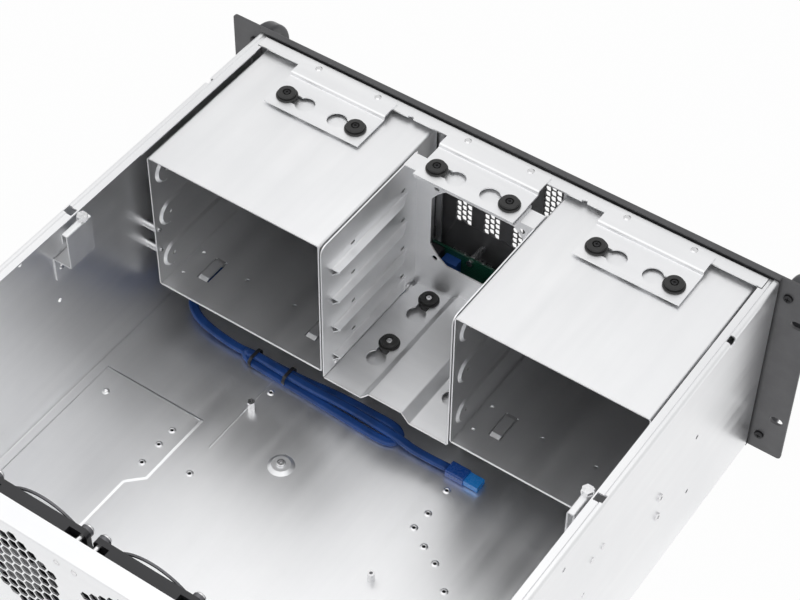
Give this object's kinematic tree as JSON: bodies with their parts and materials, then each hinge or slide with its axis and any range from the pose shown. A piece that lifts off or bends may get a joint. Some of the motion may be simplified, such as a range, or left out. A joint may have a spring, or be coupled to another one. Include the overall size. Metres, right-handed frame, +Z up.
{
  "type": "rackmount server case",
  "caption": "Open rack case of folded steel with drive cages, a dark front panel with handles, and rear openings for cards, fans and a power supply.",
  "frame": {"origin": "middle of the whole part's footprint, on the surface that it stands on", "axes": "+X towards the left side as seen from the rear looking forwards, +Y towards the rear, +Z up"},
  "size_m": [0.4826, 0.4792, 0.177],
  "materials": {
    "zinc_sheet": "zinc-plated sheet, semi-gloss",
    "dark_panel": "dark grey powder coat",
    "dark_handle": "dark grey satin paint",
    "black_screws": "black oxide",
    "rubber": "matt rubber",
    "black_plastic": "satin",
    "board_green": "solder mask",
    "clear_lens": "clear",
    "blue_plug": "gloss",
    "blue_lead": "satin sleeve",
    "plated_wire": "bright plated",
    "brass_posts": "plated brass"
  },
  "bodies": {
    "case": {"bar_bolts": "plated_wire", "bar_bracket_left": "zinc_sheet", "bar_bracket_right": "zinc_sheet", "base_grommets": "rubber", "base_screws": "plated_wire", "bay_cover_left_1": "dark_panel", "bay_cover_left_2": "dark_panel", "bay_cover_left_3": "dark_panel", "bay_cover_right_1": "dark_panel", "bay_cover_right_2": "dark_panel", "bay_cover_right_3": "dark_panel", "board_header": "black_plastic", "board_spacers": "brass_posts", "board_standoffs": "brass_posts", "boss_screw": "plated_wire", "bracket_grommets": "rubber", "bracket_screws": "black_screws", "chassis_tub": "zinc_sheet", "drive_cage_floor_left": "zinc_sheet", "drive_cage_floor_right": "zinc_sheet", "drive_cage_left": "zinc_sheet", "drive_cage_right": "zinc_sheet", "fan_guard_1": "plated_wire", "fan_guard_2": "plated_wire", "fan_housing_1": "black_plastic", "fan_housing_2": "black_plastic", "fan_screws": "plated_wire", "front_board": "board_green", "front_frame": "zinc_sheet", "front_panel": "dark_panel", "handle_left": "dark_handle", "handle_right": "dark_handle", "handle_screws": "black_screws", "indicator_lights": "clear_lens", "lead_board_plug": "blue_plug", "lead_hank": "blue_lead", "lead_plug": "blue_plug", "lead_ties": "black_plastic", "lead_tube_board": "blue_lead", "lead_tube_plug": "blue_lead", "middle_cage_base": "zinc_sheet", "middle_cage_foot": "zinc_sheet", "middle_cage_wall_left": "zinc_sheet", "middle_cage_wall_right": "zinc_sheet", "rear_panel": "zinc_sheet", "sheet_rivets": "zinc_sheet", "side_screws": "plated_wire", "side_spacers": "zinc_sheet", "slot_covers": "zinc_sheet", "slot_screws": "plated_wire", "top_bracket_left": "zinc_sheet", "top_bracket_middle": "zinc_sheet", "top_bracket_right": "zinc_sheet", "usb_sockets": "plated_wire"},
    "power_button": {"power_button": "black_plastic"},
    "reset_button": {"reset_button": "black_plastic"},
    "rotor_1": {"fan_rotor_1": "black_plastic"},
    "rotor_2": {"fan_rotor_2": "black_plastic"}
  },
  "joints": [
    {"name": "power_press", "type": "slide", "parent": "case", "child": "power_button", "axis": [0, 1, 0], "range_m": [0, 0.0015], "stiffness_N_per_m": 600, "springref_m": -0.0008},
    {"name": "reset_press", "type": "slide", "parent": "case", "child": "reset_button", "axis": [0, 1, 0], "range_m": [0, 0.0015], "stiffness_N_per_m": 600, "springref_m": -0.0008},
    {"name": "fan_1_spin", "type": "hinge", "parent": "case", "child": "rotor_1", "pos_m": [-0.017, 0.225, 0.1306], "axis": [0, 1, 0], "continuous": true},
    {"name": "fan_2_spin", "type": "hinge", "parent": "case", "child": "rotor_2", "pos_m": [0.068, 0.225, 0.1306], "axis": [0, 1, 0], "continuous": true}
  ]
}
